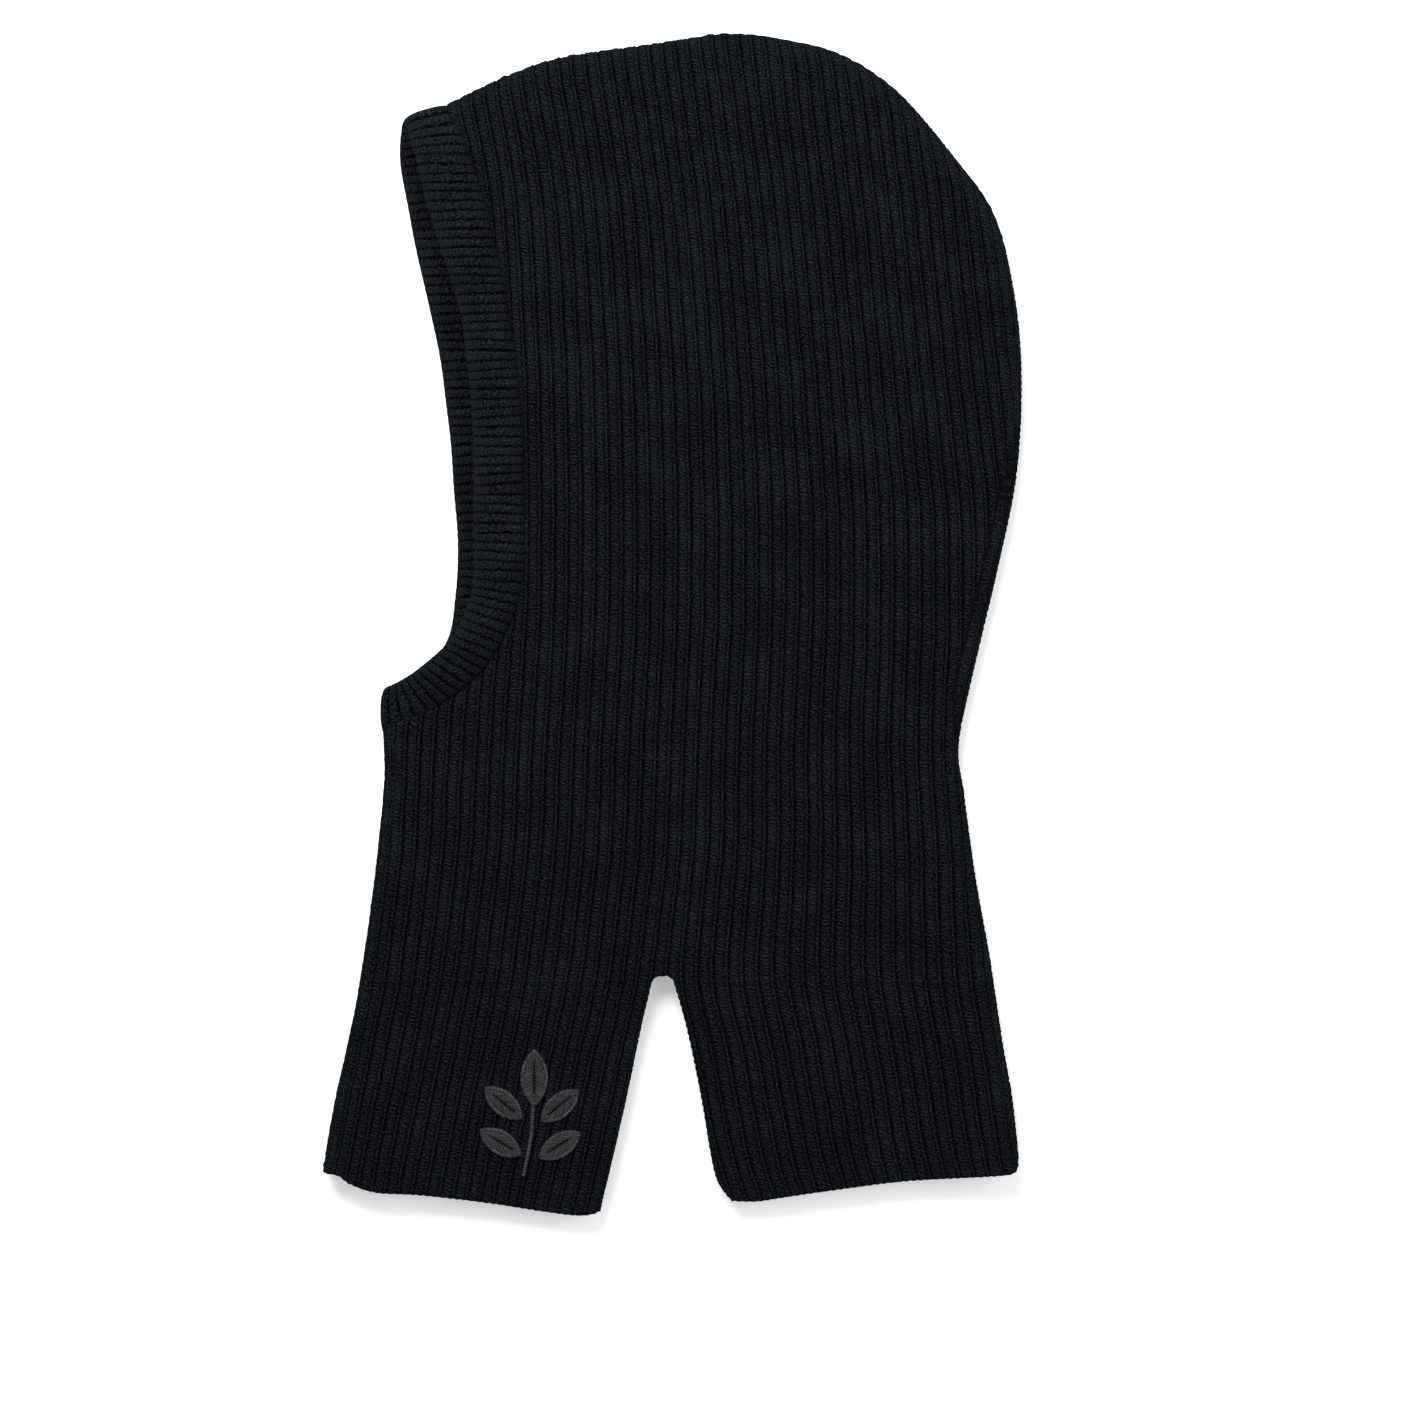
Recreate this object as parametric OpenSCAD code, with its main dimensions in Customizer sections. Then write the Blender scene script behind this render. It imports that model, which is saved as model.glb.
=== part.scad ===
// Ribbed wool balaclava, lying flat on its right side with the face opening towards -X.
// +X points to the back of the head, +Y to the crown and +Z up from the table.
// The origin is under the middle of the flat shape, on the table.

/* [Size] */
// Height from the front hem to the crown
total_h = 421; // [390:1:450]
// Width from the front bib's corner to the back of the head
total_w = 248; // [230:1:270]

/* [Knit] */
// Thickness of one layer of the rib knit
fabric_t = 3.5; // [3:0.1:4]
// Space between the two sides of the hood as it lies
hollow = 8; // [7:0.5:10]
// Width of the knit that turns over at a fold
fold_w = 4; // [3:0.5:6]

/* [Face band] */
// Thickness of the doubled band around the face
band_t = 5; // [4:0.1:5.5]
// Width of the linked seam between the band and the hood
seam_w = 2; // [1.5:0.1:3]
// How far the seam lies below the surface of the knit
seam_sunk = 1; // [0.5:0.1:1.5]

/* [Bibs] */
// Distance of the fold line of the bibs below the middle of the height
bib_fold_y = 148; // [146:1:150]
// Width of the cast-on hem
hem_w = 7; // [5:0.5:9]
// Thickness of the cast-on hem
hem_t = 4; // [3.5:0.1:4.5]
// Width of the selvedge along each side of a slit
selvedge_w = 7; // [5:0.5:8]
// Gap between the hood and a bib, at their fold line
fold_gap = 0.3; // [0.3:0.05:0.6]

/* [Embroidery] */
// Length of the longest leaf of the sprig
leaf_l = 19; // [15:0.5:20]
// Half of a leaf's width
leaf_half_w = 3.6; // [3:0.1:4]
// Thickness of the filled leaves
leaf_t = 0.8; // [0.5:0.1:1.2]
// Width of the satin outline
satin_w = 1.2; // [0.8:0.1:1.6]
// Thickness of the satin outline
satin_t = 1.2; // [0.8:0.1:1.6]

/* [Hidden] */

WOOL = [0.10, 0.11, 0.12];
WOOL_BAND = [0.13, 0.14, 0.15];
WOOL_SEAM = [0.07, 0.08, 0.09];
THREAD = [0.24, 0.25, 0.26];
THREAD_EDGE = [0.32, 0.33, 0.34];

// The outline's points are set out for the standard size, 248 by 421 mm.
kx = total_w / 248;
ky = total_h / 421;
function sized(pts) = [for (p = pts) [p.x * kx, p.y * ky]];

full_t = 2 * fabric_t + hollow;
fold_y = -bib_fold_y * ky;
steps = 5;

// One point on the smooth curve that passes through b and c, with a and d as their neighbours
function between(a, b, c, d, u) =
    0.5 * (2 * b + (c - a) * u + (2 * a - 5 * b + 4 * c - d) * u * u
    + (3 * b - a - 3 * c + d) * u * u * u);
// A smooth curve through all the points of a list
function smooth(pts) = let (last = len(pts) - 1) concat(
    [for (i = [0:last - 1], k = [0:steps - 1])
        between(pts[max(i - 1, 0)], pts[i], pts[i + 1], pts[min(i + 2, last)], k / steps)],
    [pts[last]]);
function reversed(pts) = [for (i = [len(pts) - 1:-1:0]) pts[i]];
// The same line, moved sideways by d to the right of its direction
function beside(pts, d) = let (last = len(pts) - 1) [for (i = [0:last])
    let (v = pts[min(i + 1, last)] - pts[max(i - 1, 0)]) pts[i] + d * [v.y, -v.x] / norm(v)];
// The stretch of a smooth curve from its point number a to its point number b
function stretch(line, a, b) = [for (i = [a * steps:b * steps]) line[i]];
// A strip of width w on the right of a line
function strip(line, w) = concat(line, reversed(beside(line, w)));

// Crown, back of the head, nape and back edge, from the brow to the back hem
rim = smooth(sized([
    [-80, 187.5], [-58, 196], [-37, 203], [-10, 208], [19, 210.5], [42, 208], [62, 202],
    [81, 189], [100, 167], [114, 146], [121, 118], [124, 86], [122, 53], [115, 18],
    [107, -18], [102, -43], [104, -61], [108, -90], [113, -118], [117.5, -148],
    [121, -168], [123.5, -190]
]));
crown_end = 7;
rim_end = 21;
// Front of the neck and front edge, from the chin to the front hem
front = smooth(sized([
    [-104, -37], [-103.5, -54], [-105, -75], [-108, -104], [-112, -130], [-115.5, -148],
    [-120, -168], [-124, -190]
]));
front_end = 7;
// Hems, from the front corner to the front slit edge and from the back slit edge to the back corner
front_hem_line = smooth(sized([
    [-123, -194.5], [-116, -198], [-87, -203], [-65, -206], [-40, -209], [-26, -210.5]
]));
back_hem_line = smooth(sized([
    [20, -204.5], [37, -204], [60, -201], [84, -198], [115, -196], [122, -194.5]
]));
// Slit edges, from the head of the slit to the hems
slit_front_edge = smooth(sized([[-7, -127], [-11, -144], [-16, -168], [-21, -190], [-26, -210.5]]));
slit_back_edge = smooth(sized([[0, -126], [5, -144], [10, -168], [14, -190], [20, -204.5]]));

// Seam between the hood and the band, and the band's free edge, from the brow to the chin
seam_left = smooth(sized([
    [-80, 187.5], [-72, 164], [-65, 140], [-59, 112], [-54.5, 75], [-53.5, 40], [-54, 15],
    [-60, -4], [-69, -17], [-84, -28], [-104, -37]
]));
edge_left = smooth(sized([
    [-95, 180], [-91, 166], [-85, 142], [-75, 109], [-71, 75], [-70.5, 45], [-70, 18],
    [-73, 6], [-80, -5], [-91, -15], [-104, -23]
]));
seam_right = smooth(sized([
    [-80, 187.5], [-81, 168], [-75, 135], [-69, 106], [-64, 76], [-62, 47], [-60, 24],
    [-62, 4], [-68, -12], [-78, -24], [-104, -37]
]));
edge_right = smooth(sized([
    [-98, 171], [-97, 162], [-91, 132], [-85, 103], [-80, 74], [-78, 46], [-76.5, 24],
    [-77.5, 9], [-81, -5], [-91, -15], [-104, -23]
]));
// The band's turn over the forehead
brow = smooth(sized([[-98, 171], [-97, 177], [-91.5, 183], [-82, 187]]));

// Lowest faces of the upper layer's pieces
panel_z = full_t - fabric_t;
hem_z = full_t - hem_t;
far_out = 2 * total_h;

// One side of the balaclava, without the band, as a flat outline
module side(seam) {
    polygon(concat(
        rim, reversed(back_hem_line), reversed(slit_back_edge), slit_front_edge,
        reversed(front_hem_line), reversed(front), reversed(beside(seam, -seam_w / 2))));
}

// The band on one side, as a flat outline
module band(seam, edge) {
    polygon(concat(edge, reversed(beside(seam, seam_w / 2)), [brow[2 * steps]]));
}

// Everything above the fold line of the bibs, or below it in front of or behind the slit
module hood_zone() {
    translate([-far_out / 2, fold_y + fold_gap / 2, -1]) cube([far_out, far_out, full_t + 2]);
}
module front_zone() {
    translate([-far_out, fold_y - fold_gap / 2 - far_out, -1]) cube([far_out, far_out, full_t + 2]);
}
module back_zone() {
    translate([0, fold_y - fold_gap / 2 - far_out, -1]) cube([far_out, far_out, full_t + 2]);
}

// The hems' area: all that lies below a line hem_w above the hem
module hem_zone(line) {
    top = beside(line, -hem_w);
    last = len(top) - 1;
    translate([0, 0, -1]) linear_extrude(full_t + 2) polygon(concat(
        [[top[0].x - hem_w * 2, top[0].y + 1]], top, [[top[last].x + hem_w * 2, top[last].y]],
        [[top[last].x + hem_w * 2, -far_out], [top[0].x - hem_w * 2, -far_out]]));
}

// The selvedges' area: the slit and a strip of selvedge_w around it
module slit_zone() {
    head = selvedge_w * 0.8;
    translate([0, 0, -1]) linear_extrude(full_t + 2) polygon(concat(
        [slit_front_edge[0] + [-2, head]], beside(slit_front_edge, selvedge_w),
        [[-26 * kx, -far_out], [20 * kx, -far_out]],
        reversed(beside(slit_back_edge, -selvedge_w)), [slit_back_edge[0] + [2, head]]));
}

// A side panel of thickness t with its lowest face at z
module sheet(z, t, seam) {
    translate([0, 0, z]) linear_extrude(t) side(seam);
}

// A strip of knit that joins the two layers where the cloth turns over, along an outline
module turn(line, z, t) {
    translate([0, 0, z]) linear_extrude(t) polygon(strip(line, fold_w));
}

module hood_panel(z, seam) {
    color(WOOL) difference() {
        intersection() { sheet(z, fabric_t, seam); hood_zone(); }
        slit_zone();
    }
}
module hood_left_panel() { hood_panel(panel_z, seam_left); }
module hood_right_panel() { hood_panel(0, seam_right); }

module crown_fold() {
    color(WOOL) turn(stretch(rim, 0, crown_end), fabric_t, hollow);
}
module back_seam() {
    color(WOOL_SEAM) intersection() {
        turn(stretch(rim, crown_end, rim_end), fabric_t, hollow);
        hood_zone();
    }
}
module neck_front_fold() {
    color(WOOL) intersection() {
        turn(reversed(front), fabric_t, hollow);
        hood_zone();
    }
}

module face_band_left() {
    color(WOOL_BAND) translate([0, 0, full_t - band_t]) linear_extrude(band_t)
        band(seam_left, edge_left);
}
module face_band_right() {
    color(WOOL_BAND) linear_extrude(band_t)
        polygon(concat(edge_right, reversed(beside(seam_right, seam_w / 2)), reversed(brow)));
}
module face_band_brow_fold() {
    color(WOOL_BAND) turn(brow, band_t, full_t - 2 * band_t);
}
module face_band_chin_fold() {
    chin_x = -104 * kx;
    color(WOOL_BAND) translate([chin_x, -34 * ky, band_t])
        cube([fold_w, 9 * ky, full_t - 2 * band_t]);
}

// The linking chain in the groove between the band and the hood
module band_seam(z, seam) {
    color(WOOL_SEAM) translate([0, 0, z]) linear_extrude(fabric_t - seam_sunk)
        polygon(concat(beside(seam, -seam_w / 2), reversed(beside(seam, seam_w / 2))));
}
module band_seam_left() { band_seam(panel_z, seam_left); }
module band_seam_right() { band_seam(seam_sunk, seam_right); }

// The stretch of the selvedge that goes round the head of a slit
module slit_head(z) {
    color(WOOL) intersection() {
        sheet(z, fabric_t, seam_left);
        hood_zone();
        slit_zone();
    }
}
module slit_head_left() { slit_head(panel_z); }
module slit_head_right() { slit_head(0); }

module front_bib_panel(z) {
    color(WOOL) difference() {
        intersection() { sheet(z, fabric_t, seam_left); front_zone(); }
        hem_zone(front_hem_line);
        slit_zone();
    }
}
module front_bib_left_panel() { front_bib_panel(panel_z); }
module front_bib_right_panel() { front_bib_panel(0); }
module front_bib_fold() {
    color(WOOL) difference() {
        intersection() { turn(reversed(front), fabric_t, hollow); front_zone(); }
        hem_zone(front_hem_line);
    }
}

module back_bib_panel(z) {
    color(WOOL) difference() {
        intersection() { sheet(z, fabric_t, seam_left); back_zone(); }
        hem_zone(back_hem_line);
        slit_zone();
    }
}
module back_bib_left_panel() { back_bib_panel(panel_z); }
module back_bib_right_panel() { back_bib_panel(0); }
module back_bib_seam() {
    color(WOOL_SEAM) difference() {
        intersection() { turn(stretch(rim, crown_end, rim_end), fabric_t, hollow); back_zone(); }
        hem_zone(back_hem_line);
    }
}

// A hem: the lower layer, the upper layer and the turn between them
module front_hem() {
    color(WOOL) intersection() {
        union() {
            sheet(0, hem_t, seam_left);
            sheet(hem_z, hem_t, seam_left);
            turn(reversed(front), hem_t / 2, full_t - hem_t);
        }
        front_zone();
        hem_zone(front_hem_line);
    }
}
module back_hem() {
    color(WOOL) intersection() {
        union() {
            sheet(0, hem_t, seam_left);
            sheet(hem_z, hem_t, seam_left);
            turn(rim, hem_t / 2, full_t - hem_t);
        }
        back_zone();
        hem_zone(back_hem_line);
    }
}

// The selvedge of a bib along the slit, above the hem
module slit_edge(z) {
    intersection() { sheet(z, fabric_t, seam_left); slit_zone(); }
}
module front_slit_edge(z) {
    color(WOOL) difference() {
        intersection() { slit_edge(z); front_zone(); }
        hem_zone(front_hem_line);
    }
}
module front_slit_edge_left() { front_slit_edge(panel_z); }
module front_slit_edge_right() { front_slit_edge(0); }
module back_slit_edge(z) {
    color(WOOL) difference() {
        intersection() { slit_edge(z); back_zone(); }
        hem_zone(back_hem_line);
    }
}
module back_slit_edge_left() { back_slit_edge(panel_z); }
module back_slit_edge_right() { back_slit_edge(0); }

// Embroidered sprig. Each leaf is [x, y, angle, share of leaf_l], where x, y is the leaf's middle.
sprig_at = [-50 * kx, -174 * ky];
sprig_leaf_places = [
    [1, 13, 0, 1], [-10, 4, 50, 0.85], [10, 3, -50, 0.85], [-11, -10, 58, 0.85], [10, -11, -58, 0.85]
];
stem = smooth([[-3, -22], [-1.5, -15], [0, -6], [0.5, 2], [1, 6]]);

// A pointed leaf along Y, between two arcs, made wider by grow all round
module leaf(length, grow) {
    arc_r = (length * length / 4 + leaf_half_w * leaf_half_w) / (2 * leaf_half_w);
    intersection() {
        translate([arc_r - leaf_half_w, 0]) circle(arc_r + grow, $fn = 96);
        translate([leaf_half_w - arc_r, 0]) circle(arc_r + grow, $fn = 96);
    }
}
module sprig_leaf(place, height, grow) {
    translate([sprig_at.x + place.x, sprig_at.y + place.y, full_t]) rotate([0, 0, place[2]])
        linear_extrude(height) leaf(leaf_l * place[3], grow);
}
module sprig_leaves() {
    color(THREAD) for (place = sprig_leaf_places) sprig_leaf(place, leaf_t, 0);
}
module sprig_outline() {
    color(THREAD_EDGE) difference() {
        union() {
            for (place = sprig_leaf_places) sprig_leaf(place, satin_t, satin_w);
            translate([sprig_at.x, sprig_at.y, full_t]) linear_extrude(satin_t)
                polygon(concat(beside(stem, -satin_w), reversed(beside(stem, satin_w))));
        }
        for (place = sprig_leaf_places) translate([0, 0, -1]) sprig_leaf(place, satin_t + 2, 0);
    }
}

hood_left_panel();
hood_right_panel();
crown_fold();
back_seam();
neck_front_fold();
face_band_left();
face_band_right();
face_band_brow_fold();
face_band_chin_fold();
band_seam_left();
band_seam_right();
slit_head_left();
slit_head_right();
front_bib_left_panel();
front_bib_right_panel();
front_bib_fold();
front_hem();
front_slit_edge_left();
front_slit_edge_right();
back_bib_left_panel();
back_bib_right_panel();
back_bib_seam();
back_hem();
back_slit_edge_left();
back_slit_edge_right();
sprig_leaves();
sprig_outline();
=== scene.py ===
# %% [markdown]
# # A ribbed wool balaclava, lying flat
#
# The real thing is thick rib knit: a hood that turns over at the crown and down the front of the
# neck, a seam up the back of the head, a rolled band around the face, and a front and a back bib
# parted by a slit on each side. It lies on its right side, so the left side is the one on top.
# Each cell makes one thing. Lengths are in millimetres until a mesh is written, which is in metres.

# %% Load the frame
import math

import bpy
import numpy as np
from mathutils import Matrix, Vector, kdtree
from mathutils.geometry import delaunay_2d_cdt


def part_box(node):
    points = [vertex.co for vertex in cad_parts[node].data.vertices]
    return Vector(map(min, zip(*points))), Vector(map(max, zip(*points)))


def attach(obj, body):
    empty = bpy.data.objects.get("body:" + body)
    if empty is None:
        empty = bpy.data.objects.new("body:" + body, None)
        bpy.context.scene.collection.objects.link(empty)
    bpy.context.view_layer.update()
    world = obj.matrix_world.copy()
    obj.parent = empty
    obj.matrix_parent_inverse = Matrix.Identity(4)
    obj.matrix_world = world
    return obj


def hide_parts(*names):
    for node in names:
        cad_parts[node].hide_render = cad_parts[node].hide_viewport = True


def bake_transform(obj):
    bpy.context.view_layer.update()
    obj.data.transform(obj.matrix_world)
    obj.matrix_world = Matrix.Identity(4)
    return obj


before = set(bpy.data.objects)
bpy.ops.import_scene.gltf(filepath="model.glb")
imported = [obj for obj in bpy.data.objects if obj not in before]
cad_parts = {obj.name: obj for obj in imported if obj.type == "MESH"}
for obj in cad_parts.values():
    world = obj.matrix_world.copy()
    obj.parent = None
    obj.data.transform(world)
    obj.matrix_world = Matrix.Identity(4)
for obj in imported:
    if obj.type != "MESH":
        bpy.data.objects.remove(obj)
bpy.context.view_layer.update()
MM = 0.001

# %% [markdown]
# ## Levels and sizes
#
# The heights come from the frame, so the knit lies where the solids are. The other sizes are the
# maker's. A rib needs ten points across it to show its column of stitches and its thin leg.


# %% Levels and sizes
def level(node, corner):
    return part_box(node)[corner].z / MM


TABLE = level("hood_right_panel", 0)
TOP = level("hood_left_panel", 1)
MIDDLE = (TABLE + TOP) / 2
KNIT_T = TOP - level("hood_left_panel", 0)
BAND_T = TOP - level("face_band_left", 0)
FOLD_R = 9.0        # how far in from a fold the cloth is rounded
GAP = 0.2           # from the middle level to the cloth at a fold
RIB_W = 4.8
RIB_DEPTH = 1.6
EDGE_RIB_W = 5.3    # the one rib that follows the nape
COURSE = 1.25       # one row of stitches
HEM_W = 7.0
SELVEDGE_W = 7.0
CUT_Y = -127.0      # where the hood ends and the bibs begin
RIB_STEP = 0.1      # between points across the ribs, in ribs
ROW_STEP = 2.4      # and up them
EDGE_STEP = 0.7     # and along the outline

# %% [markdown]
# ## Outlines
#
# The flat shape is drawn with smooth lines through a few points, close to those of the solids.
# A maker would call them the rim (crown, back and nape), the front edge, the hems, the slit and
# the two lines of the face band. Each is turned into evenly spaced points before it is used.


# %% Smooth lines through a few points
STEPS = 12


def smooth(points, steps=STEPS):
    """A smooth curve through all the points, with so many steps from each to the next."""
    p = np.array(points, float)
    line = []
    for i in range(len(p) - 1):
        a, b, c, d = p[max(i - 1, 0)], p[i], p[i + 1], p[min(i + 2, len(p) - 1)]
        for u in np.arange(steps) / steps:
            line.append(0.5 * (2 * b + (c - a) * u + (2 * a - 5 * b + 4 * c - d) * u ** 2
                               + (3 * b - a - 3 * c + d) * u ** 3))
    return np.array(line + [p[-1]])


def along(line):
    """How far along the line each of its points is."""
    return np.concatenate([[0], np.cumsum(np.linalg.norm(np.diff(line, axis=0), axis=1))])


def sampled(line, at, wanted):
    """The line's points at the wanted places, where at holds the places of its own points."""
    return np.stack([np.interp(wanted, at, line[:, k]) for k in range(line.shape[1])], 1)


def even(line, step):
    """The same line with points a step apart."""
    at = along(line)
    return sampled(line, at, np.linspace(0, at[-1], max(2, int(round(at[-1] / step)) + 1)))


def beside(line, d):
    """The same line, moved sideways by d to the right of its direction."""
    way = np.gradient(line, axis=0)
    way /= np.linalg.norm(way, axis=1)[:, None]
    return line + d * np.stack([way[:, 1], -way[:, 0]], 1)


def crossing(line, other):
    """Where a line first crosses another: how far along each, in steps between points."""
    for i in range(len(line) - 1):
        p, r = line[i], line[i + 1] - line[i]
        q, s = other[:-1], np.diff(other, axis=0)
        turn = r[0] * s[:, 1] - r[1] * s[:, 0]
        turn[turn == 0] = 1e-12
        gap = q - p
        t = (gap[:, 0] * s[:, 1] - gap[:, 1] * s[:, 0]) / turn
        u = (gap[:, 0] * r[1] - gap[:, 1] * r[0]) / turn
        hit = np.nonzero((t >= 0) & (t < 1) & (u >= 0) & (u < 1))[0]
        if len(hit):
            return i + t[hit[0]], hit[0] + u[hit[0]]
    raise ValueError("the two lines don't cross")


def part(line, start, end):
    """The stretch of a line from one place on it to another, which may run backwards."""
    if start > end:
        return part(line, end, start)[::-1]
    index = np.arange(len(line))
    inner = [k for k in index if start < k < end]
    return sampled(line, index, np.array([start, *inner, end]))


def straight(a, b):
    return np.array([a, b], float)


# %% The outlines of the flat shape
RIM = smooth([
    (-80.5, 185.3), (-58, 196), (-37, 202.5), (-10, 206.5), (19, 210.3), (42, 208), (62, 202),
    (81, 189), (100, 167), (114.5, 146), (121.8, 118), (124.4, 88), (122.6, 53), (115.5, 18),
    (107, -18), (102, -43), (104, -61), (108, -90), (113, -118), (117.5, -148),
    (121, -168), (123.5, -190)])
FRONT = smooth([
    (-103.2, -37), (-102.6, -54), (-104.5, -75), (-108, -104), (-112, -130), (-115.5, -148),
    (-120, -168), (-124, -190)])
FRONT_HEM = smooth([
    (-124, -190), (-123.8, -194.6), (-118.5, -195.8), (-114.5, -198.8), (-105, -202),
    (-90, -203), (-65, -206), (-47, -208.8), (-33, -210.4), (-26, -209), (-24.9, -206)])
BACK_HEM = smooth([
    (21, -205.2), (30, -205.4), (40, -203.9), (60, -201), (84, -198), (115, -196), (122, -194.5),
    (123.5, -190)])
SLIT_FRONT = smooth([(-7, -127), (-11, -144), (-16, -168), (-21, -190), (-24.9, -206)])
SLIT_BACK = smooth([(0.2, -127), (5, -144), (10, -168), (13.7, -190), (16.3, -199), (21, -205.2)])
SLIT_HEAD = smooth([(-7, -127), (-5.5, -125.6), (-1.5, -125.4), (0.2, -127)])
SEAM = {
    "left": smooth([
        (-80.5, 185.3), (-72, 164), (-65, 140), (-59, 112), (-54.5, 75), (-53.5, 40), (-54, 15),
        (-60, -4), (-69, -17), (-84, -28), (-103.2, -37)]),
    "right": smooth([
        (-80.5, 185.3), (-81, 168), (-75, 135), (-69, 106), (-64, 76), (-62, 47), (-60, 24),
        (-62, 4), (-68, -12), (-78, -24), (-103.2, -37)])}
EDGE = {
    "left": smooth([
        (-95, 180), (-91, 166), (-85, 142), (-75, 109), (-71, 75), (-70.5, 45), (-70, 18),
        (-73, 6), (-79.5, -6), (-90.5, -16.5), (-103.5, -24)]),
    "right": smooth([
        (-98, 171), (-97, 162), (-91, 132), (-85, 103), (-80, 74), (-78, 46), (-76.5, 24),
        (-77.5, 9), (-80.5, -6), (-90.5, -16.5), (-103.5, -24)])}
CROWN_END = 7 * STEPS
NAPE = 2 * CROWN_END
print(f"the rim is {along(RIM)[-1]:.0f} mm long and the front edge {along(FRONT)[-1]:.0f} mm")

# %% [markdown]
# ## How the ribs run
#
# The ribs fan out to follow the front edge, the slit and the back, and lean towards the face at
# the crown. A few guide ribs are given, each with its number counted from the front
# fold, and every other rib is spaced evenly between its two guides. So any point has a rib
# number, whose whole part says which rib it is on and whose rest says where across that rib.

# %% Guide ribs
GUIDE_Y = np.array([-212, -190, -148, -127, -80, -43, 0, 40, 87, 130, 151, 173, 200, 214.0])
GUIDE_RIBS = np.array([0, 9.5, 21, 22.5, 42.3])
GUIDE_X = np.array([
    [-127.5, -124, -115.5, -111.4, -105.4, -104, -100, -99.3, -97, -98, -99.5, -105, -118, -126],
    [-81.5, -77.4, -68.7, -64.3, -58.4, -57, -54, -53.5, -54, -56, -57.5, -61, -66.5, -69.5],
    [-26.5, -21, -12, -7, -1.5, -0.5, 1.8, 2, 0.6, -2.4, -4.4, -7.8, -12, -14],
    [22, 14, 6, 0.2, 5.6, 6.6, 9, 9.2, 7.7, 4.4, 2.3, -1, -5.1, -7],
    [124, 118, 112, 108, 105.8, 103, 104.5, 104.2, 98.8, 94, 91.8, 88.7, 86, 84.5]])
GUIDE_ROWS = np.linspace(GUIDE_Y[0], GUIDE_Y[-1], 500)
ROUNDING = 41       # rows over which a kink is eased


def eased(x):
    """A guide's x at many heights, rounded off where its points would make a kink."""
    raw = np.interp(GUIDE_ROWS, GUIDE_Y, x)
    window = np.hanning(ROUNDING)
    padded = np.pad(raw, ROUNDING // 2, mode="reflect", reflect_type="odd")
    return np.convolve(padded, window / window.sum(), "valid")


GUIDES = np.array([eased(x) for x in GUIDE_X])


def guides_at(y):
    """x of each guide rib at the heights y, one row a guide."""
    return np.array([np.interp(y, GUIDE_ROWS, g) for g in GUIDES])


def rib_number(x, y):
    """How many ribs there are from the front fold to each point."""
    g = guides_at(y)
    k = (g[1:-1] <= x).sum(0)
    rows = np.arange(len(x))
    share = (x - g[k, rows]) / (g[k + 1, rows] - g[k, rows])
    return GUIDE_RIBS[k] + share * (GUIDE_RIBS[k + 1] - GUIDE_RIBS[k])


def rib_x(number, y):
    """The other way round: x of a rib number at a height."""
    g = guides_at(y)
    k = np.clip(np.searchsorted(GUIDE_RIBS, number, "right") - 1, 0, len(GUIDE_RIBS) - 2)
    rows = np.arange(len(y))
    share = (number - GUIDE_RIBS[k]) / (GUIDE_RIBS[k + 1] - GUIDE_RIBS[k])
    return g[k, rows] + share * (g[k + 1, rows] - g[k, rows])


print("ribs across the neck:", round(rib_number(np.array([102.0]), np.array([-43.0]))[0]))

# %% [markdown]
# ## The shape of the cloth
#
# Each side of the balaclava is a soft sheet that is highest in the middle of its edge, sags a
# little further in, and rolls down to half height where it turns over into the other side. At a
# free edge, such as a hem, it only rounds off by its own thickness, and along the band's seam it
# dips into a groove. All of that depends on how far a point is from each edge, so the distances
# to the edges are worked out once and the rest is a few smooth formulas.


# %% Distances to the edges
AT_ONCE = 8000      # points measured in one go, to save memory


def distance(points, line):
    """How far each point is from a line, and the direction straight away from it."""
    a, b = line[:-1], line[1:]
    run = b - a
    size = (run ** 2).sum(1)
    far = np.empty(len(points))
    away = np.empty((len(points), 2))
    for start in range(0, len(points), AT_ONCE):
        some = slice(start, start + AT_ONCE)
        p = points[some]
        gap = p[:, None] - a[None]
        t = np.clip((gap * run).sum(2) / size, 0, 1)
        gap -= t[..., None] * run
        d2 = (gap ** 2).sum(2)
        k = d2.argmin(1)
        rows = np.arange(len(p))
        far[some] = np.sqrt(d2[rows, k])
        away[some] = gap[rows, k]
    away /= np.maximum(far, 1e-6)[:, None]
    return far, away


def ease(x):
    """A smooth step from 0 to 1."""
    x = np.clip(x, 0, 1)
    return x * x * (3 - 2 * x)


def waves(points, size, seed):
    """Gentle unevenness between -1 and 1, about so many millimetres across."""
    rng = np.random.default_rng(seed)
    total = np.zeros(len(points))
    for _ in range(7):
        turn, phase = rng.uniform(0, 2 * math.pi, 2)
        reach = size * rng.uniform(0.7, 1.6)
        total += np.sin((points[:, 0] * math.cos(turn) + points[:, 1] * math.sin(turn))
                        * 2 * math.pi / reach + phase)
    return total / 4


FOLDS = [even(RIM, 5), even(FRONT, 5)]
FREE = [even(line, 4) for line in (FRONT_HEM, BACK_HEM, SLIT_FRONT, SLIT_BACK)]
FREE.append(even(SLIT_HEAD, 1))
CROWN = even(RIM[:CROWN_END], 4)
BACK_EDGE = even(RIM[CROWN_END - 3 * STEPS:], 4)
FASHIONED = RIM[(RIM[:, 0] > 90) & (RIM[:, 1] < 74) & (RIM[:, 1] > -45)]


def quarter(d, radius):
    """How far a quarter round has risen, from 0 at its edge to 1 at its radius."""
    return np.sqrt(np.clip(1 - (1 - np.clip(d / radius, 0, 1)) ** 2, 0, 1))


def quarter_slope(d, radius):
    s = np.clip(1 - d / radius, 0, 0.995)
    return np.where(d < radius, s / np.sqrt(1 - s * s) / radius, 0)


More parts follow.
